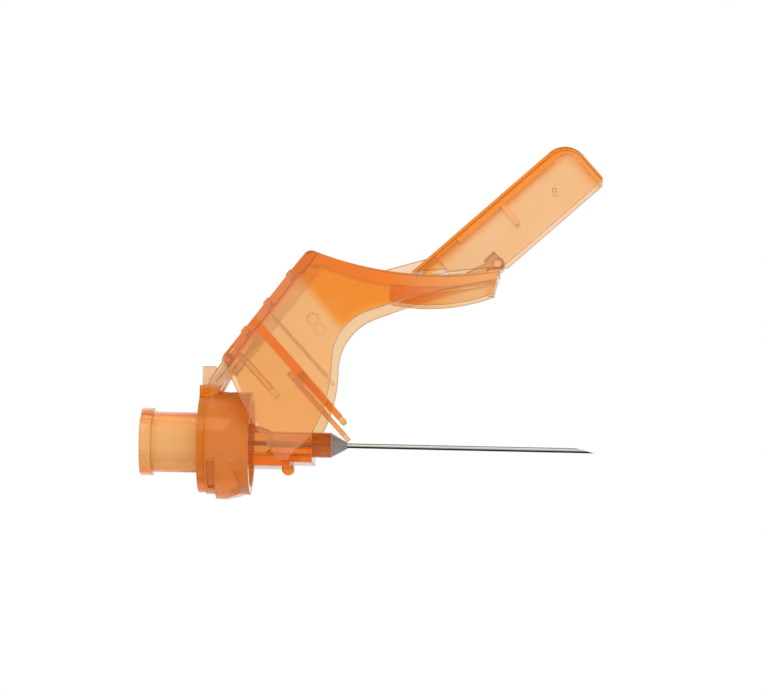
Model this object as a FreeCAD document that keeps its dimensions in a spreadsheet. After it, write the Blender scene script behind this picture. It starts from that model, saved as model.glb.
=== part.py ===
import FreeCAD, Part
import os
import re
import Sketcher

# Safety hypodermic needle, 25 G by one inch, with a two-part hinged shield.
# Frame: the origin is the centre of the socket's mouth, +X runs along the
# cannula to its point, +Z is the side that the open shield stands on.

doc = FreeCAD.newDocument("SafetyNeedle")

# Driving dimensions in millimetres, and degrees where the name says so

SIZES = {
    # Socket end of the hub
    "mouth_radius": 2.15,
    "socket_depth": 7.5,
    "socket_draft": 0.03,
    "lug_ring_radius": 3.45,
    "lug_ring_length": 1.2,
    "lug_radius": 3.9,
    "lug_high_side": 3.4,
    "lug_low_side": 2.2,
    "hub_body_radius": 3.1,
    "hub_seat_radius": 2.98,
    "shoulder_length": 1.3,
    "seat_overhang": 0.4,
    # Nose of the hub
    "nose_radius": 1.28,
    "nose_end": 19.45,
    "funnel_radius": 0.5,
    "bond_gap": 0.02,
    "well_radius": 0.8,
    "well_depth": 2.0,
    # Latch shelf under the nose
    "shelf_start": 9.2,
    "shelf_step": 15.45,
    "shelf_end": 17.65,
    "shelf_half_width": 3.0,
    "shelf_top": 1.05,
    "shelf_bottom": 2.4,
    "shelf_lip_bottom": 1.97,
    "bump_radius": 0.62,
    "bump_centre": 15.05,
    "bump_half_width": 0.7,
    "bump_drop": 0.15,
    # Buttress between the hub's shoulder and its nose
    "buttress_end": 13.3,
    "buttress_top": 1.9,
    "buttress_bottom": 1.45,
    "buttress_tip": 0.65,
    "buttress_rise": 0.2,
    "buttress_inner": 0.6,
    "buttress_outer": 2.1,
    # Cannula and its adhesive
    "cannula_radius": 0.255,
    "cannula_bore_radius": 0.13,
    "cannula_start": 9.3,
    "cannula_point": 46.3,
    "bevel_length": 1.95,
    "bead_foot_radius": 1.22,
    "bead_tip_radius": 0.34,
    "bead_length": 1.6,
    # Collar
    "collar_start": 5.95,
    "collar_flange_length": 0.8,
    "collar_flange_radius": 5.1,
    "collar_radius": 5.25,
    "collar_end": 11.25,
    "collar_wall": 0.85,
    "sleeve_radius": 3.7,
    "sleeve_length": 3.2,
    "collar_slot_offset": 0.3,
    "collar_slot_width": 0.8,
    "collar_slot_depth": 0.25,
    "collar_slot_top": 2.2,
    "collar_slot_bottom": 4.75,
    "ramp_proud": 0.5,
    "ramp_offset": 1.85,
    "ramp_top_width": 0.65,
    "ramp_foot_width": 2.6,
    "ramp_heel_width": 1.04,
    "ramp_top": 1.8,
    "tab_offset": 0.09,
    "tab_length": 1.4,
    "tab_top": 7.85,
    "tab_thickness": 0.5,
    # Bracket and its hinge with the lever
    "hinge_x": 8.78,
    "hinge_z": 8.36,
    "bar_radius": 0.34,
    "bar_clearance": 0.06,
    "eye_radius": 0.65,
    "cheek_inner": 1.05,
    "cheek_outer": 2.35,
    "side_gap": 0.15,
    "post_length": 1.5,
    "post_foot": 4.6,
    "post_top": 5.75,
    "arm_thickness": 0.75,
    "arm_skew": 0.15,
    "arm_root_rise": 0.15,
    "arm_root_z": 6.95,
    "strut_thickness": 0.38,
    "strut_tip_offset": 0.4,
    "strut_tip_width": 0.53,
    "neck_outer": 3.7,
    # Lever, measured from its hinge
    "reach_x": 27.25,
    "reach_z": 10.47,
    "lever_half_width": 6.15,
    "lever_wall": 0.6,
    "lever_skin": 1.2,
    "lever_end_half_width": 2.8,
    "crease_angle_deg": 40.2,
    "crease_reach": 11.05,
    "heel_x": 0.25,
    "heel_z": 0.1,
    "heel_notch_radius": 1.45,
    "pad_angle_deg": 53.0,
    "pad_length": 13.95,
    "brow_angle_deg": -19.0,
    "apex_round": 0.6,
    "apex_rise": 0.16,
    "inner_round": 0.5,
    "end_overhang": 0.25,
    "end_drop": 0.62,
    "top_rise": 1.37,
    "end_rim_height": 1.12,
    "edge_rise": 0.3,
    "elbow_x": 14.52,
    "elbow_z": 5.09,
    "elbow_rise": 0.97,
    "flap_front_x": 10.83,
    "flap_front_z": 0.03,
    "flap_front_rise": 0.55,
    "flap_low_x": 8.82,
    "flap_low_z": 7.89,
    "tip_front_x": 6.84,
    "tip_back_x": 5.3,
    "tip_z": 9.9,
    "tip_rise": 0.42,
    "flap_back_rise": 0.42,
    # Thumb ribs on the lever's pad
    "pad_rib_first": 3.45,
    "pad_rib_pitch": 3.65,
    "pad_rib_height": 0.2,
    "pad_rib_width": 0.8,
    "pad_rib_inset": 0.5,
    # Web, prongs and ribs inside the lever
    "web_root_x": 3.2,
    "web_root_z": 3.3,
    "web_angle_deg": -46.9,
    "web_thickness": 0.9,
    "web_length": 6.4,
    "web_sink": 0.4,
    "prong_thickness": 0.65,
    "prong_start": 5.6,
    "prong_tip": 12.65,
    "prong_tip_rise": 0.26,
    "prong_inner": 3.15,
    "prong_outer": 4.9,
    "finger_thickness": 0.5,
    "finger_gap": 0.3,
    "finger_tip": 14.1,
    "finger_inner": 3.3,
    "finger_outer": 4.5,
    "brace_root_x": 1.0,
    "brace_root_z": 0.8,
    "brace_length": 5.4,
    "brace_thickness": 0.6,
    "brace_inner": 4.4,
    "fold_rib_offset": 1.8,
    "fold_rib_thickness": 0.25,
    "fold_rib_height": 0.3,
    "fold_rib_length": 8.6,
    "mark_x": 8.77,
    "mark_z": 4.04,
    "mark_radius": 0.55,
    "mark_depth": 0.1,
    # Guide cheeks and end wall at the lever's far end
    "guide_start": 16.3,
    "guide_half_gap": 1.75,
    "guide_wall": 0.5,
    "guide_root_z": 6.35,
    "guide_end_depth": 2.5,
    "guide_rise": 0.75,
    "guide_top_z": 8.87,
    "guide_top_rise": 0.4,
    "end_wall": 0.7,
    "end_slant": 0.6,
    "end_slot_half_width": 0.6,
    "end_slot_depth": 1.2,
    # Knuckle that carries the sheath
    "pin_radius": 0.4,
    "pin_clearance": 0.06,
    "knuckle_radius": 0.72,
    "knuckle_foot": 1.6,
    "knuckle_heel": 0.72,
    "knuckle_end": 0.55,
    "knuckle_start": 0.9,
    "knuckle_top": 1.2,
    "gusset_length": 5.0,
    "gusset_inset": 0.24,
    "gusset_top": 0.64,
    "gusset_sink": 1.08,
    "gusset_half_width": 0.3,
    # Sheath, measured from its hinge along and across its own length
    "sheath_angle_deg": 42.3,
    "sheath_end": 13.85,
    "sheath_depth": 5.06,
    "sheath_lip": 0.7,
    "sheath_half_width": 2.55,
    "sheath_wall": 0.6,
    "sheath_spine": 0.85,
    "sheath_thin_spine": 0.5,
    "sheath_step": 1.5,
    "sheath_corner": 2.4,
    "sheath_toe": 0.4,
    "sheath_mouth": 0.62,
    "ear_radius": 0.5,
    "ear_chord": 0.35,
    "sheath_back": 4.33,
    "sheath_back_height": 2.6,
    "sheath_knee": 1.55,
    "sheath_knee_height": 0.65,
    "tongue_reach": 6.9,
    "tongue_tip_depth": 0.35,
    "back_web_low": 3.0,
    "back_web_reach": 6.9,
    "back_web_inset": 0.15,
    "fin_reach": 9.3,
    "fin_height": 7.35,
    "fin_root": 4.55,
    "fin_foot": 7.1,
    "fin_foot_sink": 0.05,
    "fin_thickness": 0.5,
    "sheath_rib_place": 4.3,
    "sheath_rib_thickness": 0.5,
    "sheath_rib_foot": 1.75,
    "catch_place": 9.3,
    "catch_height": 1.85,
    "catch_radius": 0.25,
    "catch_length": 0.4,
}

sheet = doc.addObject("Spreadsheet::Sheet", "dims")
for row, (word, value) in enumerate(SIZES.items(), start=1):
    sheet.set(f"A{row}", word)
    sheet.set(f"B{row}", str(value))
    sheet.setAlias(f"B{row}", word)
doc.recompute()


def sized(text):
    """Puts the sheet's name before each size that an expression names."""
    return re.sub(r"[a-z_]+", lambda word: "dims." + word[0] if word[0] in SIZES else word[0], text)


def value_of(text):
    """The number that an expression gives with the sheet's present sizes."""
    found = sheet.evalExpression(sized(text))
    return float(getattr(found, "Value", found))


def bind(item, **expressions):
    """Ties properties of an object to expressions of the sheet's sizes."""
    for name, text in expressions.items():
        item.setExpression(name.replace("__", "."), sized(text))


# Sketches

def arc_between(start, end, rise):
    """An arc that bulges by rise to the right of the way from start to end."""
    middle = (start + end) / 2
    along = end - start
    right = FreeCAD.Vector(along.y, -along.x, 0).normalize()
    return Part.ArcOfCircle(start, middle + right * rise, end)


def draw(sketch, outline):
    """Closed outline of (x, y, rise) points with every point tied to the sheet.

    A rise of None leads to the next point by a line. Otherwise it is the height of
    an arc over its chord, to the right of the way along it, or to the left if negative.
    """
    points = [FreeCAD.Vector(value_of(x), value_of(y), 0) for x, y, _ in outline]
    edges = []
    for place, (x, y, rise) in enumerate(outline):
        start = points[place]
        end = points[(place + 1) % len(points)]
        if rise is None:
            edges.append(sketch.addGeometry(Part.LineSegment(start, end), False))
        else:
            arc = arc_between(start, end, value_of(rise))
            edges.append(sketch.addGeometry(arc, False))
    starts = []
    ends = []
    for place, edge in enumerate(edges):
        begins = sketch.getPoint(edge, 1)
        forward = (begins - points[place]).Length < 1e-6
        starts.append((edge, 1 if forward else 2))
        ends.append((edge, 2 if forward else 1))
    for place in range(len(edges)):
        after = (place + 1) % len(edges)
        sketch.addConstraint(Sketcher.Constraint("Coincident", *ends[place], *starts[after]))
    for place, (x, y, rise) in enumerate(outline):
        for kind, text in (("DistanceX", x), ("DistanceY", y)):
            number = value_of(text)
            mark = Sketcher.Constraint(kind, -1, 1, *starts[place], number)
            index = sketch.addConstraint(mark)
            sketch.setExpression(f"Constraints[{index}]", sized(text))
        if rise is not None:
            next_x, next_y, _ = outline[(place + 1) % len(outline)]
            height = f"abs({rise})"
            span = f"({next_x} - ({x})) ^ 2 + ({next_y} - ({y})) ^ 2"
            radius = f"({span}) / (8 * {height}) + {height} / 2"
            mark = Sketcher.Constraint("Radius", edges[place], value_of(radius))
            index = sketch.addConstraint(mark)
            sketch.setExpression(f"Constraints[{index}]", sized(radius))


def ring(sketch, x, y, radius):
    """Circle with its centre and radius tied to the sheet."""
    centre = FreeCAD.Vector(value_of(x), value_of(y), 0)
    circle = Part.Circle(centre, FreeCAD.Vector(0, 0, 1), value_of(radius))
    edge = sketch.addGeometry(circle, False)
    for kind, text in (("DistanceX", x), ("DistanceY", y)):
        index = sketch.addConstraint(Sketcher.Constraint(kind, -1, 1, edge, 3, value_of(text)))
        sketch.setExpression(f"Constraints[{index}]", sized(text))
    index = sketch.addConstraint(Sketcher.Constraint("Radius", edge, value_of(radius)))
    sketch.setExpression(f"Constraints[{index}]", sized(radius))


def corners(x_low, x_high, y_low, y_high):
    """Rectangle between two values each way, as an outline for draw."""
    return [(x_low, y_low, None), (x_high, y_low, None), (x_high, y_high, None), (x_low, y_high, None)]


# The side plane's sketches have +X to the right and +Z up. The plane's normal is -Y.
SIDE_TURN = FreeCAD.Rotation(FreeCAD.Vector(1, 0, 0), 90)
# Small turn that sets the axis for turns from +X towards +Z. The sheet sets the angle.
UPWARD_TURN = FreeCAD.Rotation(FreeCAD.Vector(0, -1, 0), 1)


def body_sketch(body, name, role="XZ_Plane"):
    """Sketch on one of the body's own origin planes."""
    plane = [item for item in body.Origin.OriginFeatures if item.Role == role][0]
    sketch = body.newObject("Sketcher::SketchObject", name)
    sketch.AttachmentSupport = (plane, [""])
    sketch.MapMode = "FlatFace"
    return sketch


def body_revolution(body, name, outline):
    """Full turn about the body's X axis of an outline on its side plane."""
    sketch = body_sketch(body, name + "_profile")
    draw(sketch, outline)
    turn = body.newObject("PartDesign::Revolution", name)
    turn.Profile = sketch
    turn.ReferenceAxis = (sketch, ["H_Axis"])
    turn.Angle = 360
    return turn


def body_pad(body, name, outline, length, kind="PartDesign::Pad"):
    """Pad or Pocket of a side outline, as far to one side as to the other."""
    sketch = body_sketch(body, name + "_profile")
    draw(sketch, outline)
    pad = body.newObject(kind, name)
    pad.Profile = sketch
    pad.SideType = "Symmetric"
    bind(pad, Length=length)
    return pad


def side_plate(name, outline, y_low, y_high):
    """Plate with a side outline that reaches from one Y to another."""
    sketch = doc.addObject("Sketcher::SketchObject", name + "_profile")
    sketch.Placement = FreeCAD.Placement(FreeCAD.Vector(0, 0, 0), SIDE_TURN)
    if callable(outline):
        outline(sketch)
    else:
        draw(sketch, outline)
    plate = doc.addObject("Part::Extrusion", name)
    plate.Base = sketch
    plate.DirMode = "Custom"
    plate.Dir = FreeCAD.Vector(0, 1, 0)
    plate.Solid = True
    bind(plate, LengthFwd=y_high, LengthRev=f"0 - ( {y_low} )")
    return plate


def mirrored_pair(name, outline, y_inner, y_outer):
    """Two like plates, one on each side of the middle plane."""
    near = side_plate(name + "_near", outline, f"0 - ( {y_outer} )", f"0 - ( {y_inner} )")
    far = side_plate(name + "_far", outline, y_inner, y_outer)
    return [near, far]


def rod(name, x, z, radius, half_width):
    """Cylinder along Y with its middle on the middle plane."""
    item = doc.addObject("Part::Cylinder", name)
    turn = FreeCAD.Rotation(FreeCAD.Vector(1, 0, 0), -90)
    item.Placement = FreeCAD.Placement(FreeCAD.Vector(0, 0, 0), turn)
    bind(item, Radius=radius, Height=f"2 * ( {half_width} )")
    bind(item, Placement__Base__x=x, Placement__Base__y=f"0 - ( {half_width} )", Placement__Base__z=z)
    return item


def drum(name, x_start, length, radius, z="0"):
    """Cylinder along X."""
    item = doc.addObject("Part::Cylinder", name)
    turn = FreeCAD.Rotation(FreeCAD.Vector(0, 1, 0), 90)
    item.Placement = FreeCAD.Placement(FreeCAD.Vector(0, 0, 0), turn)
    bind(item, Radius=radius, Height=length, Placement__Base__x=x_start, Placement__Base__z=z)
    return item


def joined(name, items, kind="Part::MultiFuse"):
    """Union of several solids, or what they share."""
    result = doc.addObject(kind, name)
    result.Shapes = items
    return result


def taken(name, base, tool):
    """The first solid less the second."""
    result = doc.addObject("Part::Cut", name)
    result.Base = base
    result.Tool = tool
    return result


# Hub with its socket, lugs, nose and latch shelf

SEAT_END = "collar_start + sleeve_length + seat_overhang"
NOSE_START = f"{SEAT_END} + shoulder_length"
SOCKET_FLOOR = "mouth_radius - socket_depth * socket_draft"
BORE = "cannula_radius + bond_gap"


def make_hub():
    body = doc.addObject("PartDesign::Body", "hub_body")
    body_revolution(body, "hub_turned", [
        ("0", "mouth_radius", None),
        ("0", "lug_ring_radius", None),
        ("lug_ring_length", "lug_ring_radius", None),
        ("lug_ring_length", "hub_body_radius", None),
        ("collar_start", "hub_body_radius", None),
        ("collar_start", "hub_seat_radius", None),
        (SEAT_END, "hub_seat_radius", None),
        (NOSE_START, "nose_radius", None),
        ("nose_end", "nose_radius", None),
        ("nose_end", "well_radius", None),
        ("nose_end - well_depth", "well_radius", None),
        ("nose_end - well_depth", BORE, None),
        ("cannula_start", BORE, None),
        ("cannula_start", "funnel_radius", None),
        ("socket_depth", "funnel_radius", None),
        ("socket_depth", SOCKET_FLOOR, None),
    ])
    body_pad(body, "shelf", [
        ("shelf_start", "0 - shelf_bottom", None),
        ("shelf_step", "0 - shelf_bottom", None),
        ("shelf_step", "0 - shelf_lip_bottom", None),
        ("shelf_end", "0 - shelf_lip_bottom", None),
        ("shelf_end", "0 - shelf_top", None),
        ("shelf_start", "0 - shelf_top", None),
    ], "2 * shelf_half_width")
    bump = body_sketch(body, "latch_bump_profile")
    ring(bump, "bump_centre", "0 - shelf_bottom - bump_drop", "bump_radius")
    pad = body.newObject("PartDesign::Pad", "latch_bump")
    pad.Profile = bump
    pad.SideType = "Symmetric"
    bind(pad, Length="2 * bump_half_width")
    # Slabs on both sides of the nose brace it against the shoulder
    buttresses = mirrored_pair("buttress", [
        ("shelf_start", "0 - buttress_bottom", None),
        ("collar_end", "0 - buttress_bottom", "buttress_rise"),
        ("buttress_end", "0 - buttress_tip", None),
        ("buttress_end", "nose_radius", None),
        ("collar_end", "buttress_top", None),
        ("shelf_start", "buttress_top", None),
    ], "buttress_inner", "buttress_outer")
    lugs = []
    for name, y_low, y_high, z_low, z_high in (
        ("lug_near", "0 - lug_radius", "0", "0 - lug_high_side", "lug_low_side"),
        ("lug_far", "0", "lug_radius", "0 - lug_low_side", "lug_high_side"),
    ):
        block = side_plate(name, corners("0", "lug_ring_length", z_low, z_high), y_low, y_high)
        round_end = drum(name + "_round", "0", "lug_ring_length", "lug_radius")
        lugs.append(joined(name + "_shaped", [block, round_end], "Part::MultiCommon"))
    lug_pair = joined("lug_pair", lugs)
    lug_bore = drum("lug_bore", "0", "lug_ring_length", "( mouth_radius + lug_ring_radius ) / 2")
    lug_ends = taken("lug_ends", lug_pair, lug_bore)
    hub = joined("needle_hub", [body, lug_ends] + buttresses)
    hub.Refine = True
    return hub


# Steel tube with a bevelled point, and the adhesive that holds it

def make_cannula():
    body = doc.addObject("PartDesign::Body", "cannula")
    body_revolution(body, "tube", corners(
        "cannula_start", "cannula_point", "cannula_bore_radius", "cannula_radius"))
    # The bevel's plane meets the tube's lowest line at the point
    bevel = body_pad(body, "bevel", [
        ("cannula_point - bevel_length", "cannula_radius", None),
        ("cannula_point - bevel_length", "2 * cannula_radius", None),
        ("cannula_point + bevel_length", "2 * cannula_radius", None),
        ("cannula_point + bevel_length", "- 3 * cannula_radius", None),
    ], "4 * cannula_radius", "PartDesign::Pocket")
    bevel.Type = 0
    return body


def make_bead():
    body = doc.addObject("PartDesign::Body", "adhesive_bead")
    body_revolution(body, "bead", [
        ("nose_end - well_depth", "cannula_radius", None),
        ("nose_end - well_depth", "well_radius", None),
        ("nose_end", "well_radius", None),
        ("nose_end", "bead_foot_radius", None),
        ("nose_end + bead_length", "bead_tip_radius", None),
        ("nose_end + bead_length", "cannula_radius", None),
    ])
    return body


# Collar with the bracket that carries the lever

def make_collar():
    inner_start = "collar_start + collar_flange_length"
    turned = doc.addObject("PartDesign::Body", "collar_turned_body")
    body_revolution(turned, "collar_turned", [
        ("collar_start", "hub_seat_radius", None),
        ("collar_start", "collar_flange_radius", None),
        (inner_start, "collar_flange_radius", None),
        (inner_start, "collar_radius", None),
        ("collar_end", "collar_radius", None),
        ("collar_end", "collar_radius - collar_wall", None),
        (inner_start, "collar_radius - collar_wall", None),
        (inner_start, "sleeve_radius", None),
        ("collar_start + sleeve_length", "sleeve_radius", None),
        ("collar_start + sleeve_length", "hub_seat_radius", None),
    ])
    # Shallow slots, one on each side
    slot_start = f"{inner_start} + collar_slot_offset"
    slot_end = f"{slot_start} + collar_slot_width"
    slots = mirrored_pair(
        "collar_slot", corners(slot_start, slot_end, "0 - collar_slot_bottom", "0 - collar_slot_top"),
        "0.5 * collar_wall", "collar_radius")
    slot_core = drum("slot_core", "collar_start", "collar_end", "collar_radius - collar_slot_depth")
    slot_cut = taken("slot_cut", joined("slot_pair", slots), slot_core)
    open_collar = taken("collar_slotted", turned, slot_cut)
    # Ramp that grows out of the wall towards the bottom
    ramp_start = f"{inner_start} + ramp_offset - collar_slot_width"
    ramp_side = side_plate("ramp_side", [
        (ramp_start, "0 - ramp_top", None),
        (f"{ramp_start} + ramp_top_width", "0 - ramp_top", "0 - ramp_proud"),
        (f"{ramp_start} + ramp_foot_width", "0 - collar_radius", None),
        (f"{ramp_start} + ramp_heel_width", "0 - collar_radius - ramp_proud", None),
        (ramp_start, "0 - collar_radius - ramp_proud", None),
    ], "0 - collar_radius", "collar_radius")
    ramp_drum = drum("ramp_drum", "collar_start", "collar_end", "collar_radius", "0 - ramp_proud")
    ramp_core = drum("ramp_core", "collar_start", "collar_end", "collar_radius - 0.5 * collar_wall")
    ramp = taken("ramp", joined("ramp_block", [ramp_side, ramp_drum], "Part::MultiCommon"), ramp_core)
    # Thin upright tab on the middle plane
    tab_start = "collar_start + tab_offset"
    tab = side_plate(
        "tab",
        corners(tab_start, f"{tab_start} + tab_length", "collar_radius - 0.5 * collar_wall", "tab_top"),
        "- 0.5 * tab_thickness", "0.5 * tab_thickness")
    # Bracket cheeks: a post, an arm and a strut that meet in the hinge eye
    post_end = "collar_start + post_length"
    post = mirrored_pair("post", [
        ("collar_start", "post_foot", None),
        (post_end, "post_foot", None),
        (post_end, "post_top + 0.5 * arm_thickness", None),
        (f"{post_end} - arm_thickness", "post_top", None),
        ("collar_start", "post_top", None),
    ], "cheek_inner", "cheek_outer")
    arm = mirrored_pair("arm", [
        (f"{post_end} - arm_thickness", "post_top - arm_thickness", None),
        (post_end, "post_top - arm_thickness", None),
        (f"{post_end} + 0.5 * arm_skew", "post_top + 0.5 * arm_thickness", None),
        ("hinge_x + 0.5 * arm_thickness", "hinge_z - arm_skew", None),
        ("hinge_x - 0.5 * arm_thickness", "hinge_z + arm_skew", None),
        (f"{post_end} - arm_skew", "arm_root_z", "arm_root_rise"),
    ], "cheek_inner", "cheek_outer")
    strut = mirrored_pair("strut", [
        (f"{post_end} - strut_thickness", "collar_radius - 0.5 * collar_wall", None),
        (f"{post_end} + strut_thickness", "collar_radius - 0.5 * collar_wall", None),
        ("hinge_x + strut_tip_offset + 0.5 * strut_tip_width", "hinge_z - strut_tip_offset", None),
        ("hinge_x + strut_tip_offset - 0.5 * strut_tip_width", "hinge_z - strut_tip_offset", None),
    ], "cheek_inner", "cheek_outer")
    eye = mirrored_pair(
        "eye", lambda sketch: ring(sketch, "hinge_x", "hinge_z", "eye_radius"), "cheek_inner", "cheek_outer")
    bore = rod("eye_bore", "hinge_x", "hinge_z", "bar_radius + bar_clearance", "cheek_outer")
    bracket = taken("bracket", joined("bracket_solid", post + arm + strut + eye), bore)
    collar = joined("shield_collar", [open_collar, ramp, tab, bracket])
    collar.Refine = True
    return collar


# Lever: a hooded channel from the bracket's hinge to the sheath's hinge. Its
# outlines are measured from the bracket's hinge.

END_X = "reach_x + end_overhang"
END_TOP = "reach_z - end_drop"
APEX_X = "pad_length * cos(pad_angle_deg) - heel_x"
APEX_Z = "pad_length * sin(pad_angle_deg) + heel_z"
# Where the undersides of the pad and of the back meet, by the skin's thickness
MITRE = "lever_skin / (1 + cos(pad_angle_deg - brow_angle_deg))"
INNER_X = f"({APEX_X} + {MITRE} * (sin(pad_angle_deg) + sin(brow_angle_deg)))"
INNER_Z = f"({APEX_Z} - {MITRE} * (cos(pad_angle_deg) + cos(brow_angle_deg)))"
HALF_TURN = "(pad_angle_deg - brow_angle_deg) / 2"
INNER_RISE = f"inner_round / tan({HALF_TURN}) * (1 - cos({HALF_TURN}))"
KNUCKLE_HALF = "sheath_half_width - sheath_wall - side_gap"


def end_face(depth):
    """How far along the lever its leaning end face is, at a depth under the back."""
    return f"{END_X} - end_slant * ({depth}) / guide_end_depth"


def slanted(root_x, root_z, angle, low, high, under, over, tip_rise=None):
    """Strip that leaves a root at an angle, from low to high along it."""
    outline = []
    strip = [(low, over, None), (high, over, tip_rise), (high, under, None), (low, under, None)]
    for along, across, rise in strip:
        x = f"{root_x} + ({along}) * cos({angle}) - ({across}) * sin({angle})"
        z = f"{root_z} + ({along}) * sin({angle}) + ({across}) * cos({angle})"
        outline.append((x, z, rise))
    return outline


def web_strip(low, high, under, over, tip_rise=None):
    """Strip along the web's line inside the lever."""
    return slanted("web_root_x", "web_root_z", "web_angle_deg", low, high, under, over, tip_rise)


def pad_strip(low, high, under, over, rise=None):
    """Strip along the thumb pad's outer line."""
    return slanted("0 - heel_x", "heel_z", "pad_angle_deg", low, high, under, over, rise)


def plan_plate(name, inset):
    """Plan outline that narrows past the crease, drawn across the crease and extruded along it."""
    sketch = doc.addObject("Sketcher::SketchObject", name + "_profile")
    far = "reach_x * cos(crease_angle_deg) + reach_z * sin(crease_angle_deg)"
    slope = f"(lever_half_width - lever_end_half_width) / ({far} - crease_reach)"
    wide = f"lever_half_width - {inset}"
    narrow = f"lever_end_half_width - {inset} - knuckle_radius * {slope}"
    start = "0 - pad_length"
    end = f"{far} + knuckle_radius"
    draw(sketch, [
        (start, f"0 - ({wide})", None),
        ("crease_reach", f"0 - ({wide})", None),
        (end, f"0 - ({narrow})", None),
        (end, narrow, None),
        ("crease_reach", wide, None),
        (start, wide, None),
    ])
    sketch.Placement = FreeCAD.Placement(FreeCAD.Vector(0, 0, 0), UPWARD_TURN)
    bind(sketch, Placement__Rotation__Angle="crease_angle_deg")
    plate = doc.addObject("Part::Extrusion", name)
    plate.Base = sketch
    plate.DirMode = "Normal"
    plate.Solid = True
    bind(plate, LengthFwd="reach_x", LengthRev="reach_x")
    return plate


def lever_shell():
    """Skin and side walls: one outline in side view and one across the crease, hollowed."""
    outer_side = side_plate("lever_outer_side", [
        ("0 - heel_x", "heel_z", None),
        (f"{APEX_X} - apex_round * cos(pad_angle_deg)", f"{APEX_Z} - apex_round * sin(pad_angle_deg)",
         "0 - apex_rise"),
        (f"{APEX_X} + apex_round * cos(brow_angle_deg)", f"{APEX_Z} + apex_round * sin(brow_angle_deg)",
         "top_rise"),
        (END_X, END_TOP, None),
        (end_face("end_rim_height"), f"{END_TOP} - end_rim_height", "edge_rise"),
        ("elbow_x", "elbow_z", "elbow_rise"),
        ("flap_front_x", "flap_front_z", "0 - flap_front_rise"),
        ("flap_low_x", "0 - flap_low_z", None),
        ("tip_front_x", "0 - tip_z", "0 - tip_rise"),
        ("tip_back_x", "0 - tip_z", "0 - flap_back_rise"),
    ], "0 - lever_half_width", "lever_half_width")
    hollow_low = "0 - 2 * tip_z"
    hollow_side = side_plate("lever_hollow_side", [
        ("0 - heel_x + lever_skin * sin(pad_angle_deg) - tip_z * cos(pad_angle_deg)",
         "heel_z - lever_skin * cos(pad_angle_deg) - tip_z * sin(pad_angle_deg)", None),
        (f"{INNER_X} - inner_round * cos(pad_angle_deg)", f"{INNER_Z} - inner_round * sin(pad_angle_deg)",
         f"0 - {INNER_RISE}"),
        (f"{INNER_X} + inner_round * cos(brow_angle_deg)", f"{INNER_Z} + inner_round * sin(brow_angle_deg)",
         "top_rise"),
        (end_face("lever_skin") + " - end_wall", f"{END_TOP} - lever_skin", None),
        (end_face(f"{END_TOP} - ({hollow_low})") + " - end_wall", hollow_low, None),
        ("0 - tip_z", hollow_low, None),
    ], "0 - lever_half_width", "lever_half_width")
    outer = joined("lever_outer", [outer_side, plan_plate("lever_outer_plan", "0")], "Part::MultiCommon")
    hollow = joined(
        "lever_hollow", [hollow_side, plan_plate("lever_hollow_plan", "lever_wall")], "Part::MultiCommon")
    return taken("lever_shell", outer, hollow)


def lever_inside():
    """Web with its prongs and fingers, the braces and the low ribs on the walls."""
    wall_middle = "lever_half_width - 0.5 * lever_wall"
    half = "0.5 * web_thickness"
    slim = "0.5 * prong_thickness"
    web = side_plate(
        "web", web_strip("0 - web_sink", "web_length", f"0 - {half}", half),
        f"0 - ({wall_middle})", wall_middle)
    prongs = mirrored_pair(
        "prong", web_strip("prong_start", f"prong_tip - {slim}", f"0 - {slim}", slim, "0 - prong_tip_rise"),
        "prong_inner", "prong_outer")
    finger_over = f"0 - {slim} - finger_gap"
    finger_under = f"{finger_over} - finger_thickness"
    fingers = mirrored_pair(
        "finger", web_strip("prong_start", "finger_tip", finger_under, finger_over),
        "finger_inner", "finger_outer")
    root_end = "prong_start + 2 * finger_gap + finger_thickness"
    roots = mirrored_pair(
        "finger_root", web_strip("prong_start", root_end, finger_under, "0"), "finger_inner", "finger_outer")
    braces = mirrored_pair(
        "brace", slanted("brace_root_x", "brace_root_z", "web_angle_deg", "0", "brace_length",
                         "0 - 0.5 * brace_thickness", "0.5 * brace_thickness"),
        "brace_inner", wall_middle)
    fold_under = "fold_rib_offset - 0.5 * fold_rib_thickness"
    fold_over = "fold_rib_offset + 0.5 * fold_rib_thickness"
    fold_ribs = mirrored_pair(
        "fold_rib", web_strip("0 - web_sink", "fold_rib_length", fold_under, fold_over),
        "lever_half_width - lever_wall - fold_rib_height", wall_middle)
    return [web] + prongs + fingers + roots + braces + fold_ribs


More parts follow.
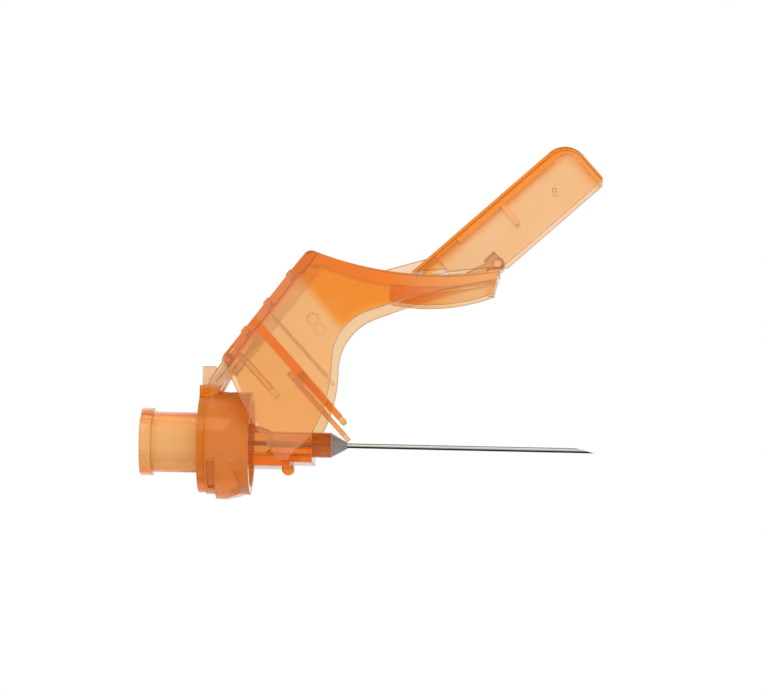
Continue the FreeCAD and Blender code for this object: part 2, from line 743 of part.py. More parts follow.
def lever_far_end():
    """Guide cheeks, end wall with the cannula's slot, and the knuckle for the sheath."""
    guide_low = f"{END_TOP} - guide_end_depth"
    under_back = "0.5 * lever_skin"
    guides = mirrored_pair("guide", [
        ("guide_start", "guide_top_z", "guide_top_rise"),
        (end_face(under_back), f"{END_TOP} - {under_back}", None),
        (end_face("guide_end_depth"), guide_low, "0 - guide_rise"),
        ("guide_start", "guide_root_z", None),
    ], "guide_half_gap", "guide_half_gap + guide_wall")
    end_plate = side_plate("end_plate", [
        (end_face(under_back) + " - end_wall", f"{END_TOP} - {under_back}", None),
        (end_face(under_back), f"{END_TOP} - {under_back}", None),
        (end_face("guide_end_depth"), guide_low, None),
        (end_face("guide_end_depth") + " - end_wall", guide_low, None),
    ], "0 - guide_half_gap - 0.5 * guide_wall", "guide_half_gap + 0.5 * guide_wall")
    half = KNUCKLE_HALF
    foot = side_plate("knuckle_foot_block", [
        ("reach_x - knuckle_foot", f"{END_TOP} - 0.5 * lever_skin", None),
        ("reach_x - knuckle_heel", "reach_z", None),
        (END_X, "reach_z", None),
        (END_X, f"{END_TOP} - 0.5 * lever_skin", None),
    ], f"0 - ({half})", half)
    knuckle = rod("knuckle", "reach_x", "reach_z", "knuckle_radius", half)
    # The knuckle's square back follows the open sheath's slope
    back = side_plate(
        "knuckle_back", slanted("reach_x", "reach_z", "sheath_angle_deg", "0 - knuckle_start", "knuckle_end",
                                "0", "knuckle_top"), f"0 - ({half})", half)
    gusset = side_plate("gusset", [
        ("reach_x - gusset_inset", "reach_z + gusset_top", None),
        ("reach_x - gusset_length", f"{END_TOP} - gusset_sink", None),
        ("reach_x - gusset_inset", f"{END_TOP} - 0.5 * lever_skin", None),
    ], "0 - gusset_half_width", "gusset_half_width")
    return guides + [end_plate, foot, knuckle, back, gusset]


def make_lever():
    shell = lever_shell()
    notches = mirrored_pair(
        "heel_notch", lambda sketch: ring(sketch, "0", "0", "heel_notch_radius"),
        "cheek_inner - side_gap", "cheek_outer + side_gap")
    marks = mirrored_pair(
        "mark", lambda sketch: ring(sketch, "mark_x", "mark_z", "mark_radius"),
        "lever_half_width - mark_depth", "lever_half_width + mark_depth")
    open_shell = taken("lever_notched", shell, joined("lever_cuts", notches + marks))
    bar = rod("hinge_bar", "0", "0", "bar_radius", "neck_outer")
    pad_ribs = []
    for place in range(3):
        low = f"pad_rib_first + {place} * pad_rib_pitch - 0.5 * pad_rib_width"
        rib = side_plate(
            f"pad_rib_{place + 1}",
            pad_strip(low, f"{low} + pad_rib_width", "0 - pad_rib_height", "pad_rib_height"),
            "0 - lever_half_width + pad_rib_inset", "lever_half_width - pad_rib_inset")
        pad_ribs.append(rib)
    solid = joined("lever_solid", [open_shell, bar] + pad_ribs + lever_inside() + lever_far_end())
    pin_bore = rod("pin_bore", "reach_x", "reach_z", "pin_radius + pin_clearance", "lever_half_width")
    slot = side_plate(
        "cannula_slot",
        corners(f"{END_X} - 2 * end_wall", f"{END_X} + end_wall", "0", f"{END_TOP} - end_slot_depth"),
        "0 - end_slot_half_width", "end_slot_half_width")
    lever = taken("shield_lever", solid, joined("lever_openings", [pin_bore, slot]))
    lever.Refine = True
    bind(lever, Placement__Base__x="hinge_x", Placement__Base__z="hinge_z")
    return lever


# Sheath: a channel with a closed end, measured along and across its length from its hinge

def make_sheath():
    round_rise = "sheath_corner * (1 - cos(45))"
    outer = side_plate("sheath_outer", [
        ("0 - sheath_back", "sheath_back_height", None),
        ("0 - sheath_back", "sheath_depth", None),
        ("sheath_end - sheath_corner", "sheath_depth", f"- {round_rise}"),
        ("sheath_end", "sheath_depth - sheath_corner", None),
        ("sheath_end", "sheath_toe - sheath_lip", "0 - sheath_toe * (1 - cos(45))"),
        ("sheath_end - sheath_toe", "0 - sheath_lip", None),
        ("sheath_mouth", "0 - sheath_lip", None),
        ("ear_chord", "0 - ear_chord", None),
        ("0 - ear_chord", "0 - ear_chord", None),
        ("0 - sheath_knee", "sheath_knee_height", None),
    ], "0 - sheath_half_width", "sheath_half_width")
    inside = "sheath_half_width - sheath_wall"
    inner_corner = "(sheath_corner - sheath_spine)"
    hollow = side_plate("sheath_hollow", [
        ("0 - 2 * sheath_back", "0 - 2 * sheath_lip", None),
        ("0 - 2 * sheath_back", "sheath_depth - sheath_thin_spine", None),
        ("0 - sheath_step", "sheath_depth - sheath_thin_spine", None),
        ("0 - sheath_step", "sheath_depth - sheath_spine", None),
        (f"sheath_end - sheath_wall - {inner_corner}", "sheath_depth - sheath_spine",
         f"- {inner_corner} * (1 - cos(45))"),
        ("sheath_end - sheath_wall", f"sheath_depth - sheath_spine - {inner_corner}", None),
        ("sheath_end - sheath_wall", "0 - 2 * sheath_lip", None),
    ], f"0 - ({inside})", inside)
    shell = taken("sheath_shell", outer, hollow)
    tongue = side_plate("tongue", [
        ("0 - tongue_reach", "sheath_depth - tongue_tip_depth", None),
        ("0 - tongue_reach - 0.5 * sheath_thin_spine", "sheath_depth", None),
        ("0 - sheath_back + sheath_wall", "sheath_depth", None),
        ("0 - sheath_back + sheath_wall", "sheath_depth - sheath_thin_spine", None),
        ("0 - tongue_reach + sheath_thin_spine", "sheath_depth - sheath_thin_spine", None),
    ], "0 - sheath_half_width", "sheath_half_width")
    fin = side_plate("fin", [
        ("0 - fin_root", "sheath_depth", None),
        ("0 - fin_root", "sheath_depth - 0.5 * sheath_thin_spine", None),
        ("0 - fin_foot", "sheath_depth - fin_foot_sink", None),
        ("0 - fin_reach + 0.5 * fin_thickness", "fin_height - fin_thickness", None),
        ("0 - fin_reach", "fin_height", None),
    ], "0 - 0.5 * fin_thickness", "0.5 * fin_thickness")
    # Thinner sides close the corner between the tongue and the lever's back
    back_webs = mirrored_pair("back_web", [
        ("0.5 * sheath_wall - sheath_back", "back_web_low", None),
        ("0.5 * sheath_wall - sheath_back", "sheath_depth - 0.5 * sheath_thin_spine", None),
        ("0 - back_web_reach", "sheath_depth - 0.5 * sheath_thin_spine", None),
        ("0 - sheath_back", "back_web_low", None),
    ], "sheath_half_width - sheath_wall", "sheath_half_width - back_web_inset")
    rib_start = "sheath_rib_place - 0.5 * sheath_rib_thickness"
    rib_end = "sheath_rib_place + 0.5 * sheath_rib_thickness"
    rib = side_plate(
        "sheath_rib", corners(rib_start, rib_end, "sheath_rib_foot", "sheath_depth - 0.5 * sheath_spine"),
        "0 - sheath_half_width + 0.5 * sheath_wall", "sheath_half_width - 0.5 * sheath_wall")
    catches = mirrored_pair(
        "catch", lambda sketch: ring(sketch, "catch_place", "catch_height", "catch_radius"),
        f"{inside} - catch_length", f"{inside} + 0.5 * sheath_wall")
    ears = mirrored_pair(
        "ear", lambda sketch: ring(sketch, "0", "0", "ear_radius"), inside, "sheath_half_width")
    pin = rod("hinge_pin", "0", "0", "pin_radius", "sheath_half_width - 0.5 * sheath_wall")
    sheath = joined("needle_sheath", [shell, tongue, fin, rib, pin] + back_webs + catches + ears)
    sheath.Refine = True
    sheath.Placement = FreeCAD.Placement(FreeCAD.Vector(0, 0, 0), UPWARD_TURN)
    bind(sheath, Placement__Rotation__Angle="sheath_angle_deg")
    bind(sheath, Placement__Base__x="hinge_x + reach_x", Placement__Base__z="hinge_z + reach_z")
    return sheath


pieces = [make_hub(), make_cannula(), make_bead(), make_collar(), make_lever(), make_sheath()]
NODES = ["needle_hub", "cannula", "adhesive_bead", "shield_collar", "shield_lever", "needle_sheath"]
for piece, node in zip(pieces, NODES):
    piece.Label = node

doc.recompute()

for item in doc.Objects:
    if "Invalid" in item.State or "Error" in item.State:
        raise RuntimeError(f"{item.Name} failed: {item.State}")
for piece in pieces:
    if piece.Shape.isNull() or not piece.Shape.isValid():
        raise RuntimeError(f"{piece.Label} has no valid shape")

os.makedirs("parts", exist_ok=True)
for piece in pieces:
    piece.Shape.exportStep(f"parts/{piece.Label}.step")
    solids = len(piece.Shape.Solids)
    print(f"{piece.Label}: {solids} solid, {piece.Shape.Volume:.2f} cubic mm")
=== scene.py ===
import math
from collections import namedtuple
import bmesh
import bpy
from mathutils import Matrix, Vector
from mathutils.bvhtree import BVHTree
from mathutils.kdtree import KDTree


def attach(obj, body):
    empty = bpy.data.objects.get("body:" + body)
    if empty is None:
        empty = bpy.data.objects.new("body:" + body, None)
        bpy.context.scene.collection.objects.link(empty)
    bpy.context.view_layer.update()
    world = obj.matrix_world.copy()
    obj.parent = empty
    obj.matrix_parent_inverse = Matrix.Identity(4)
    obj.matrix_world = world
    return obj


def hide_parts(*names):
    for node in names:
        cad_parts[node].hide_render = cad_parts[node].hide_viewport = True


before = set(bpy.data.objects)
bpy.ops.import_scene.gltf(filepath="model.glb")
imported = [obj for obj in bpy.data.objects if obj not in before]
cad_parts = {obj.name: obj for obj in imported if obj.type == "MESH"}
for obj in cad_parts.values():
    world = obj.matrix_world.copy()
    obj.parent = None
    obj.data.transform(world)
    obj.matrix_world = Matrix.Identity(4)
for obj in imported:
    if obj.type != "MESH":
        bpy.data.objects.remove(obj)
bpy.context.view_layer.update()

MM = 0.001

# The photograph's view

PHOTO_WIDTH = 763
PHOTO_HEIGHT = 694
PIXELS_PER_MM = 9.76
LENS_MM = 240.0
SENSOR_MM = 36.0
AZIMUTH_DEG = 3.0
ELEVATION_DEG = -4.8
ROLL_DEG = 1.43
# The hub's mouth centre, which is the frame's origin, in photo pixels
MOUTH_PIXEL = (142.3, 441.3)
# What the camera can see lies between these shares of its own distance
CLIP_FROM = 0.05
CLIP_TO = 20


def make_camera():
    """Long lens at the photograph's angle, rolled as the photograph is."""
    azimuth = math.radians(AZIMUTH_DEG)
    elevation = math.radians(ELEVATION_DEG)
    back = Vector((math.sin(azimuth) * math.cos(elevation),
                   -math.cos(azimuth) * math.cos(elevation),
                   math.sin(elevation)))
    roll = Matrix.Rotation(math.radians(ROLL_DEG), 3, "Z")
    turn = (-back).to_track_quat("-Z", "Y").to_matrix() @ roll
    data = bpy.data.cameras.new("photo_camera")
    data.lens = LENS_MM
    data.sensor_width = SENSOR_MM
    camera = bpy.data.objects.new("photo_camera", data)
    bpy.context.scene.collection.objects.link(camera)
    width = PHOTO_WIDTH / PIXELS_PER_MM * MM
    distance = width * LENS_MM / SENSOR_MM
    right = turn @ Vector((1, 0, 0))
    up = turn @ Vector((0, 1, 0))
    pixel = MM / PIXELS_PER_MM
    middle = (right * (PHOTO_WIDTH / 2 - MOUTH_PIXEL[0]) * pixel
              - up * (PHOTO_HEIGHT / 2 - MOUTH_PIXEL[1]) * pixel)
    camera.matrix_world = Matrix.Translation(middle + back * distance) @ turn.to_4x4()
    data.clip_start = distance * CLIP_FROM
    data.clip_end = distance * CLIP_TO
    bpy.context.scene.camera = camera


# Node helpers

def new_material(name):
    """Empty node material: the material, its nodes, its links and its output node."""
    material = bpy.data.materials.new(name)
    material.use_nodes = True
    nodes = material.node_tree.nodes
    nodes.clear()
    output = nodes.new("ShaderNodeOutputMaterial")
    return material, nodes, material.node_tree.links, output


def object_place(nodes):
    """Where a point lies in the object's own space, which is the frame's at rest."""
    return nodes.new("ShaderNodeTexCoord").outputs["Object"]


# Octaves of the coarse and the fine noise
COARSE = 2
FINE = 3


def noise(nodes, links, source, per_mm, detail, stretch=(1, 1, 1)):
    """Noise in the object's own space, with about per_mm features to a millimetre."""
    mapping = nodes.new("ShaderNodeMapping")
    mapping.inputs["Scale"].default_value = [per_mm / MM * part for part in stretch]
    links.new(source, mapping.inputs["Vector"])
    texture = nodes.new("ShaderNodeTexNoise")
    texture.inputs["Scale"].default_value = 1
    texture.inputs["Detail"].default_value = detail
    links.new(mapping.outputs[0], texture.inputs["Vector"])
    return texture.outputs["Fac"]


def ranged(nodes, links, source, low, high, from_low=0.0, from_high=1.0, smooth=False):
    """A value carried from one range to another and kept inside it."""
    item = nodes.new("ShaderNodeMapRange")
    if smooth:
        item.interpolation_type = "SMOOTHSTEP"
    item.inputs["From Min"].default_value = from_low
    item.inputs["From Max"].default_value = from_high
    item.inputs["To Min"].default_value = low
    item.inputs["To Max"].default_value = high
    links.new(source, item.inputs["Value"])
    return item.outputs["Result"]


def combined(nodes, links, operation, first, second, clamp=False):
    """Two values put through one operation, and kept from 0 to 1 where clamp says so."""
    item = nodes.new("ShaderNodeMath")
    item.operation = operation
    item.use_clamp = clamp
    links.new(first, item.inputs[0])
    links.new(second, item.inputs[1])
    return item.outputs[0]


def blend_colours(nodes, links, share, first, second):
    """Mixes two colours. Each is either an RGB tuple or an output socket."""
    mix = nodes.new("ShaderNodeMix")
    mix.data_type = "RGBA"
    links.new(share, mix.inputs[0])
    for place, colour in ((6, first), (7, second)):
        if isinstance(colour, tuple):
            mix.inputs[place].default_value = (*colour, 1)
        else:
            links.new(colour, mix.inputs[place])
    return mix.outputs[2]


def vector_math(nodes, links, operation, source, constant):
    """Vector Math node for one operation on a vector and a constant."""
    item = nodes.new("ShaderNodeVectorMath")
    item.operation = operation
    item.inputs[1].default_value = constant
    links.new(source, item.inputs[0])
    return item


def along(nodes, links, source, direction):
    """How far a point lies along a direction, in metres."""
    return vector_math(nodes, links, "DOT_PRODUCT", source, direction).outputs["Value"]


def principled(nodes, links, output, colour, levels):
    """Principled shader as the material's surface. levels gives its other constants by name."""
    shader = nodes.new("ShaderNodeBsdfPrincipled")
    links.new(colour, shader.inputs["Base Color"])
    for name, level in levels.items():
        shader.inputs[name].default_value = level
    links.new(shader.outputs[0], output.inputs["Surface"])
    return shader


# Materials

PLASTIC_IOR = 1.49
# Painted shade: the colour a wall of the plastic deepens towards where it turns away, its greatest
# share, and the
# facing values between which it comes in: 0 faces the eye and 1 is seen edge on
GRAZED_SHADE = (0.93, 0.34, 0.07)
GRAZED_SHADE_SHARE = 0.9
GRAZED_SHADE_FACING = (0.2, 0.9)
PLASTIC_SPECULAR = 0.25
PLASTIC_SPECULAR_TINT = (1.0, 0.68, 0.40, 1)
# Broad clouds of the deep colour, their greatest share and the noise that gives it
CLOUDS_PER_MM = 0.22
CLOUDS_SHARE = 0.12
CLOUDS_FROM_NOISE = (0.35, 0.7)
# Fine haze of the moulded surface
GRAIN_PER_MM = 1.2
GRAIN_NOISE = (0.3, 0.7)
GRAIN_ROUGHNESS = (0.06, 0.13)
GRAIN_BUMP = 0.08
GRAIN_BUMP_MM = 0.02
# A pale ring works on the walls more than RING_SIDE_MM to +Y. On those to -Y its distances
# grow by RING_ASIDE_MM, which takes them out of it.
RING_SIDE_MM = 1
RING_ASIDE_MM = 2

# The wall's share of the deep colour changes by change between start and end, which are
# distances in millimetres along a direction in the side plane, angle degrees above +X
Fade = namedtuple("Fade", "angle start end change")
# The deep colour comes in from start to end millimetres round centre, an x and a z in
# millimetres, on the wall at +Y
PaleRing = namedtuple("PaleRing", "centre start end")


def faded(nodes, links, place, share, fade):
    """The share after one fade."""
    angle = math.radians(fade.angle)
    distance = along(nodes, links, place, (math.cos(angle), 0, math.sin(angle)))
    ramp = ranged(nodes, links, distance, 0, fade.change, fade.start * MM, fade.end * MM, True)
    return combined(nodes, links, "ADD", share, ramp, True)


def ringed(nodes, links, place, share, ring):
    """The share kept off the inside of a pale ring."""
    centre = (ring.centre[0] * MM, 0, ring.centre[1] * MM)
    flat = vector_math(nodes, links, "MULTIPLY", place, (1, 0, 1)).outputs[0]
    reach = vector_math(nodes, links, "DISTANCE", flat, centre).outputs["Value"]
    aside = ranged(nodes, links, along(nodes, links, place, (0, 1, 0)),
                   RING_ASIDE_MM * MM, 0, -RING_SIDE_MM * MM, RING_SIDE_MM * MM)
    distance = combined(nodes, links, "ADD", reach, aside)
    outside = ranged(nodes, links, distance, 0, 1, ring.start * MM, ring.end * MM, True)
    return combined(nodes, links, "MULTIPLY", share, outside)


def moulded_plastic(name, tint, deep, clear, loss, fades, ring=None):
    """Hazy orange polypropylene, with painted shade where a wall is seen edge on.

    tint is the colour of thin walls, deep that of thick ones, clear the share of light
    that passes the surface and loss what each millimetre takes from red, green and blue.
    """
    material, nodes, links, output = new_material(name)
    place = object_place(nodes)
    share = ranged(nodes, links, noise(nodes, links, place, CLOUDS_PER_MM, COARSE),
                   0.0, CLOUDS_SHARE, *CLOUDS_FROM_NOISE)
    for fade in fades:
        share = faded(nodes, links, place, share, fade)
    if ring:
        share = ringed(nodes, links, place, share, ring)
    # Painted shade: the colour deepens where a wall is seen edge on
    grazing = nodes.new("ShaderNodeLayerWeight")
    grazing.inputs["Blend"].default_value = 0.5
    painted_edge_shade = ranged(nodes, links, grazing.outputs["Facing"], 0, GRAZED_SHADE_SHARE, *GRAZED_SHADE_FACING, True)
    body = blend_colours(nodes, links, share, tint, deep)
    colour = blend_colours(nodes, links, painted_edge_shade, body, GRAZED_SHADE)
    shader = principled(nodes, links, output, colour, {
        "Transmission Weight": clear,
        "IOR": PLASTIC_IOR,
        "Specular IOR Level": PLASTIC_SPECULAR,
        "Specular Tint": PLASTIC_SPECULAR_TINT,
    })
    grain = noise(nodes, links, place, GRAIN_PER_MM, FINE)
    links.new(ranged(nodes, links, grain, *GRAIN_ROUGHNESS, *GRAIN_NOISE), shader.inputs["Roughness"])
    bump = nodes.new("ShaderNodeBump")
    bump.inputs["Strength"].default_value = GRAIN_BUMP
    bump.inputs["Distance"].default_value = GRAIN_BUMP_MM * MM
    links.new(grain, bump.inputs["Height"])
    links.new(bump.outputs[0], shader.inputs["Normal"])
    absorb = nodes.new("ShaderNodeVolumeAbsorption")
    absorb.inputs["Color"].default_value = (*[1 - part for part in loss], 1)
    absorb.inputs["Density"].default_value = 1 / MM
    links.new(absorb.outputs[0], output.inputs["Volume"])
    return material


# Rounded edges: their darker tint is painted shade for the dark outlines along the edges
EDGE_CLOUDS_PER_MM = 0.8
EDGE_SHADE_DARKER = 0.8
EDGE_CLEAR = 0.5
EDGE_ROUGHNESS = 0.4
EDGE_SPECULAR = 0.1


def edge_line(name, tint):
    """Frosted edge of a moulding, with painted shade: a deeper tint that clouds darker still."""
    material, nodes, links, output = new_material(name)
    cloud = noise(nodes, links, object_place(nodes), EDGE_CLOUDS_PER_MM, COARSE)
    # Painted shade: the edge's tint clouds darker
    darker = tuple(EDGE_SHADE_DARKER * part for part in tint)
    principled(nodes, links, output, blend_colours(nodes, links, cloud, tint, darker), {
        "Transmission Weight": EDGE_CLEAR,
        "Roughness": EDGE_ROUGHNESS,
        "IOR": PLASTIC_IOR,
        "Specular IOR Level": EDGE_SPECULAR,
    })
    return material


STEEL_LINES_PER_MM = 14
# The lines are drawn out along the tube: this share of the features lies that way
STEEL_LINES_STRETCH = (0.02, 1, 1)
STEEL_GREYS = ((0.50, 0.48, 0.45), (0.72, 0.70, 0.66))
STEEL_ROUGHNESS = (0.2, 0.36)
# Painted reflection: the heights above the axis, in millimetres, between which each reflected tone
# comes in
STEEL_PAINTED_REFLECTION = ((0.08, 0.19, (0.24, 0.23, 0.21)), (0.0, -0.13, (0.02, 0.016, 0.014)))


def steel():
    """Drawn tube: fine lines along it, and a painted reflection of a studio: grey above and dark
    below.
    """
    material, nodes, links, output = new_material("cannula_steel")
    place = object_place(nodes)
    lines = noise(nodes, links, place, STEEL_LINES_PER_MM, COARSE, STEEL_LINES_STRETCH)
    height = along(nodes, links, place, (0, 0, 1))
    colour = blend_colours(nodes, links, lines, *STEEL_GREYS)
    # Painted reflection: darker grey towards the top and near black below the axis
    for start, end, shade in STEEL_PAINTED_REFLECTION:
        share = ranged(nodes, links, height, 0, 1, start * MM, end * MM, True)
        colour = blend_colours(nodes, links, share, colour, shade)
    shader = principled(nodes, links, output, colour, {"Metallic": 1.0})
    links.new(ranged(nodes, links, lines, *STEEL_ROUGHNESS), shader.inputs["Roughness"])
    return material


EPOXY_CLOUDS_PER_MM = 1.2
EPOXY_GREYS = ((0.18, 0.15, 0.12), (0.27, 0.23, 0.19))
EPOXY_ROUGHNESS = (0.22, 0.4)
# Painted light: the orange the bead is given inside the nose
EPOXY_NOSE_LIGHT = (1.0, 0.45, 0.14)
# The bead is grey from the first of these places on along the tube, and up to the second it takes
# the nose's colour, which is painted light: the orange light that reaches it through the nose
NOSE_END_MM = (19.5, 19.4)


def epoxy():
    """Cured grey adhesive with faint clouding. Inside the nose it takes the nose's colour as painted
    light.
    """
    material, nodes, links, output = new_material("adhesive")
    place = object_place(nodes)
    cloud = noise(nodes, links, place, EPOXY_CLOUDS_PER_MM, FINE)
    grey = blend_colours(nodes, links, cloud, *EPOXY_GREYS)
    start, end = NOSE_END_MM
    inside = ranged(nodes, links, along(nodes, links, place, (1, 0, 0)), 0, 1, start * MM, end * MM)
    # Painted light: the nose's orange on the bead inside it
    colour = blend_colours(nodes, links, inside, grey, EPOXY_NOSE_LIGHT)
    shader = principled(nodes, links, output, colour, {})
    links.new(ranged(nodes, links, cloud, *EPOXY_ROUGHNESS), shader.inputs["Roughness"])
    return material


# What a millimetre of each moulding takes from red, green and blue
LOSS = (0.0, 0.14, 0.33)
LEVER_LOSS = (0.012, 0.125, 0.31)
HUB_LOSS = (0.01, 0.14, 0.40)
# The colours of thin walls, of thick ones and of the rounded edges, whose darker tint is painted
# shade
SHEATH_PALE = (1.0, 0.825, 0.62)
LEVER_PALE = (1.0, 0.765, 0.50)
COLLAR_PALE = (1.0, 0.81, 0.53)
HUB_PALE = (1.0, 0.76, 0.42)
DEEP = (1.0, 0.50, 0.06)
COLLAR_DEEP = (0.98, 0.33, 0.02)
HUB_DEEP = (1.0, 0.32, 0.03)
RIM_SHADE_TINT = (0.74, 0.30, 0.09)
# The share of light that passes the surface
SHIELD_CLEAR = 0.88
COLLAR_CLEAR = 0.6
HUB_CLEAR = 0.76
# The lever's walls are deeper below the web and deepest along it. Past the crease they
# turn deep, and pale again towards the far end.
LEVER_FADES = (Fade(43.1, 16.3, 16.2, 0.25), Fade(43.1, 16.2, 16.3, 0.7),
               Fade(43.1, 17.1, 17.2, -0.7), Fade(40.2, 22.4, 23.8, 0.8),
               Fade(25.0, 29.0, 37.0, -0.85))
# One of its thin borders round the throat of the side openings stays pale
THROAT = PaleRing((24.68, 9.24), 5.9, 6.3)
# The hub is deep in its thick latch shelf and at the end of its nose. Towards its top and bottom it
# turns deeper as painted shade along those edges.
HUB_FADES = (Fade(0.0, 11.2, 11.4, 0.95), Fade(90.0, -1.1, -0.9, -0.5),
             Fade(0.0, 15.5, 17.5, 0.4), Fade(90.0, 1.6, 2.8, 0.7),
             Fade(90.0, -1.6, -2.8, 0.3))
# The collar is pale in its bracket and deepest in its flange
COLLAR_FADES = (Fade(90.0, 6.2, 5.3, 0.84), Fade(0.0, 7.1, 6.9, 0.16))
# The sheath is deep along its spine and at its closed end
SHEATH_FADES = (Fade(132.3, -6.9, -5.8, 0.9), Fade(132.3, -5.2, -4.9, -0.9),
                Fade(42.3, 51.4, 52.8, 0.6))

SHEATH = moulded_plastic("shield_plastic", SHEATH_PALE, DEEP, SHIELD_CLEAR, LOSS,
                         SHEATH_FADES)
LEVER = moulded_plastic("lever_plastic", LEVER_PALE, DEEP, SHIELD_CLEAR, LEVER_LOSS,
                        LEVER_FADES, THROAT)
COLLAR = moulded_plastic("collar_plastic", COLLAR_PALE, COLLAR_DEEP, COLLAR_CLEAR,
                         LOSS, COLLAR_FADES)
HUB = moulded_plastic("hub_plastic", HUB_PALE, HUB_DEEP, HUB_CLEAR, HUB_LOSS,
                      HUB_FADES)
RIM = edge_line("moulded_edge", RIM_SHADE_TINT)
STEEL = steel()
EPOXY = epoxy()


# Pieces

ROUNDING_MM = 0.06
# Edges that turn by more than the first are rounded. One that then turns by more than the
# second has folded over, and so has a face that looks away from the surface behind it.
ROUNDED_FROM = math.radians(35)
FOLDED_FROM = math.radians(140)
# Faces smaller than this aren't asked which way they look
SLIVER_MM2 = 0.0005
# Edges nearer to a fold than this many roundings stay sharp, and each try reaches one further
FOLD_REACH = 1.5
ROUNDING_TRIES = 8
# Faces that are out of flat by more than this are split
OUT_OF_FLAT = math.radians(0.2)
# Points nearer than this are one, and faces that turn by less are joined, before the rounding
SAME_POINT_MM = 0.004
SAME_FACE = math.radians(0.5)


def folded_places(work, surface):
    """Places where a rounded mesh folds over, by its edges and by the surface it came from."""
    folded = [vertex.co.copy() for edge in work.edges for vertex in edge.verts
              if edge.is_manifold and edge.calc_face_angle() > FOLDED_FROM]
    for face in work.faces:
        behind = surface.find_nearest(face.calc_center_median())[1]
        if face.calc_area() > SLIVER_MM2 * MM ** 2 and face.normal.dot(behind) < 0:
            folded.extend(vertex.co.copy() for vertex in face.verts)
    return folded


def with_round_edges(mesh, width):
    """Rounds the mesh's sharp outer edges. Those whose rounding would fold over stay sharp."""
    source = bmesh.new()
    source.from_mesh(mesh)
    surface = BVHTree.FromBMesh(source)
    source.free()
    left_sharp = set()
    for attempt in range(ROUNDING_TRIES):
        work = bmesh.new()
        work.from_mesh(mesh)
        chosen = [edge for edge in work.edges if edge.is_manifold and edge.index not in left_sharp
                  and edge.calc_face_angle_signed() > ROUNDED_FROM]
        ends = {edge.index: [vertex.co.copy() for vertex in edge.verts] for edge in chosen}
        bmesh.ops.bevel(work, geom=chosen, offset=width, offset_type="OFFSET", segments=2,
                        profile=0.5, affect="EDGES", clamp_overlap=False, material=1,
                        miter_outer="ARC")
        bmesh.ops.connect_verts_nonplanar(work, angle_limit=OUT_OF_FLAT, faces=work.faces)
        bmesh.ops.triangulate(work, faces=[face for face in work.faces if len(face.verts) > 4],
                              quad_method="BEAUTY", ngon_method="BEAUTY")
        work.normal_update()
        folded = folded_places(work, surface)
        if not folded or attempt == ROUNDING_TRIES - 1:
            break
        tree = KDTree(len(folded))
        for place, spot in enumerate(folded):
            tree.insert(spot, place)
        tree.balance()
        for index, (start, end) in ends.items():
            nearest = min(tree.find(spot)[2] for spot in (start, end, (start + end) / 2))
            if nearest < (FOLD_REACH + attempt) * width:
                left_sharp.add(index)
        work.free()
    work.to_mesh(mesh)
    work.free()


def rounded(node, body, material):
    """The node's own shape with its sharp edges rounded, in the node's place."""
    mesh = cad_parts[node].data.copy()
    work = bmesh.new()
    work.from_mesh(mesh)
    bmesh.ops.remove_doubles(work, verts=work.verts, dist=SAME_POINT_MM * MM)
    bmesh.ops.dissolve_limit(work, angle_limit=SAME_FACE, verts=work.verts, edges=work.edges)
    work.to_mesh(mesh)
    work.free()
    mesh.materials.clear()
    mesh.materials.append(material)
    mesh.materials.append(RIM)
    with_round_edges(mesh, ROUNDING_MM * MM)
    piece = bpy.data.objects.new(node + "_moulding", mesh)
    bpy.context.scene.collection.objects.link(piece)
    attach(piece, body)
    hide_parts(node)


def paint(obj, material):
    """One material all over an object."""
    if not obj.data.materials:
        obj.data.materials.append(material)
    for place in range(len(obj.material_slots)):
        obj.material_slots[place].material = material


paint(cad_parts["cannula"], STEEL)
paint(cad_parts["adhesive_bead"], EPOXY)
rounded("needle_hub", "hub", HUB)
rounded("shield_collar", "hub", COLLAR)
rounded("shield_lever", "lever", LEVER)
rounded("needle_sheath", "sheath", SHEATH)


# Stage

FLOOR_Z_MM = -46.0
FLOOR_RADIUS_MM = 900.0
FLOOR_COLOUR = (0.82, 0.82, 0.82, 1)
# Each lamp's place and size in millimetres, and its strength in watts
LAMPS = {"key": ((-120, -300, 260), 220, 0.34),
         "fill": ((220, -260, 140), 220, 0.17),
         "back": ((0, 320, 240), 260, 0.12)}
# The lamps face this place, in millimetres
LAMPS_AIM_MM = (20, 0, 10)
WORLD_LIGHT = 0.95


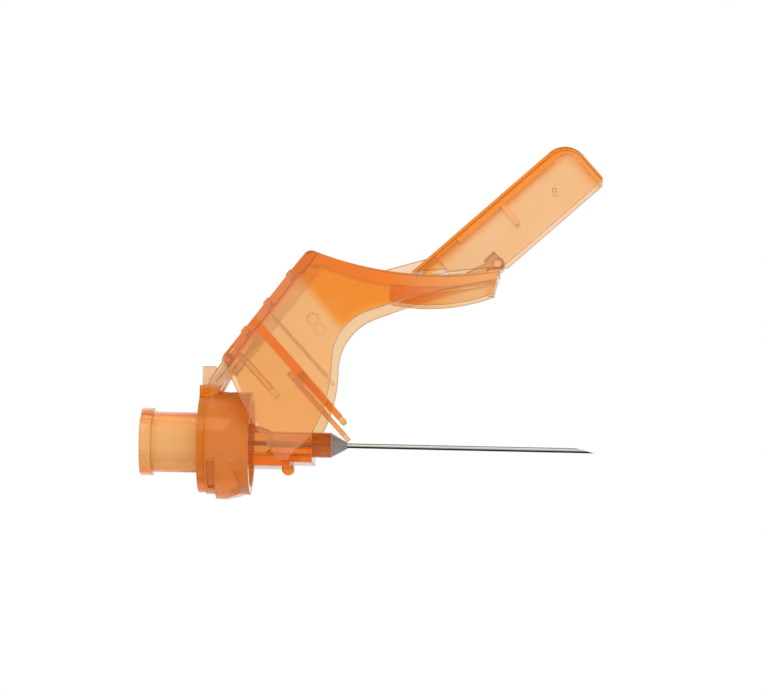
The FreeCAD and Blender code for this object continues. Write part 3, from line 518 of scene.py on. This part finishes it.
def make_floor():
    """Pale floor, low enough to stay out of the photograph's view. It shows nothing from below."""
    mesh = bpy.data.meshes.new("floor")
    reach = FLOOR_RADIUS_MM * MM
    corners = [(x * reach, y * reach, FLOOR_Z_MM * MM)
               for x, y in ((-1, -1), (1, -1), (1, 1), (-1, 1))]
    mesh.from_pydata(corners, [], [(0, 1, 2, 3)])
    floor = bpy.data.objects.new("floor", mesh)
    bpy.context.scene.collection.objects.link(floor)
    material, nodes, links, output = new_material("pale_floor")
    face = nodes.new("ShaderNodeBsdfDiffuse")
    face.inputs["Color"].default_value = FLOOR_COLOUR
    clear = nodes.new("ShaderNodeBsdfTransparent")
    mix = nodes.new("ShaderNodeMixShader")
    links.new(nodes.new("ShaderNodeNewGeometry").outputs["Backfacing"], mix.inputs[0])
    links.new(face.outputs[0], mix.inputs[1])
    links.new(clear.outputs[0], mix.inputs[2])
    links.new(mix.outputs[0], output.inputs["Surface"])
    mesh.materials.append(material)


def soft_lamp(name, place_mm, size_mm, strength):
    """Square lamp that faces the object and isn't seen itself."""
    data = bpy.data.lights.new(name, "AREA")
    data.size = size_mm * MM
    data.energy = strength
    lamp = bpy.data.objects.new(name, data)
    lamp.location = [part * MM for part in place_mm]
    aim = Vector([part * MM for part in LAMPS_AIM_MM]) - lamp.location
    lamp.rotation_mode = "QUATERNION"
    lamp.rotation_quaternion = aim.to_track_quat("-Z", "Y")
    lamp.visible_camera = False
    bpy.context.scene.collection.objects.link(lamp)


def make_world():
    """Plain white where it is seen, mirrored or seen through, and softer as a light."""
    world = bpy.data.worlds.new("studio")
    bpy.context.scene.world = world
    world.use_nodes = True
    nodes = world.node_tree.nodes
    links = world.node_tree.links
    light = nodes["Background"]
    light.inputs["Color"].default_value = (1, 1, 1, 1)
    ray = nodes.new("ShaderNodeLightPath")
    seen = ray.outputs["Is Camera Ray"]
    for kind in ("Is Glossy Ray", "Is Transmission Ray"):
        seen = combined(nodes, links, "MAXIMUM", seen, ray.outputs[kind])
    links.new(ranged(nodes, links, seen, WORLD_LIGHT, 1.0), light.inputs["Strength"])


make_camera()
make_floor()
for lamp_name, (lamp_place, lamp_size, lamp_strength) in LAMPS.items():
    soft_lamp(lamp_name, lamp_place, lamp_size, lamp_strength)
make_world()

scene = bpy.context.scene
scene.view_settings.view_transform = "Standard"
scene.cycles.max_bounces = 32
scene.cycles.transmission_bounces = 24
scene.cycles.diffuse_bounces = 8
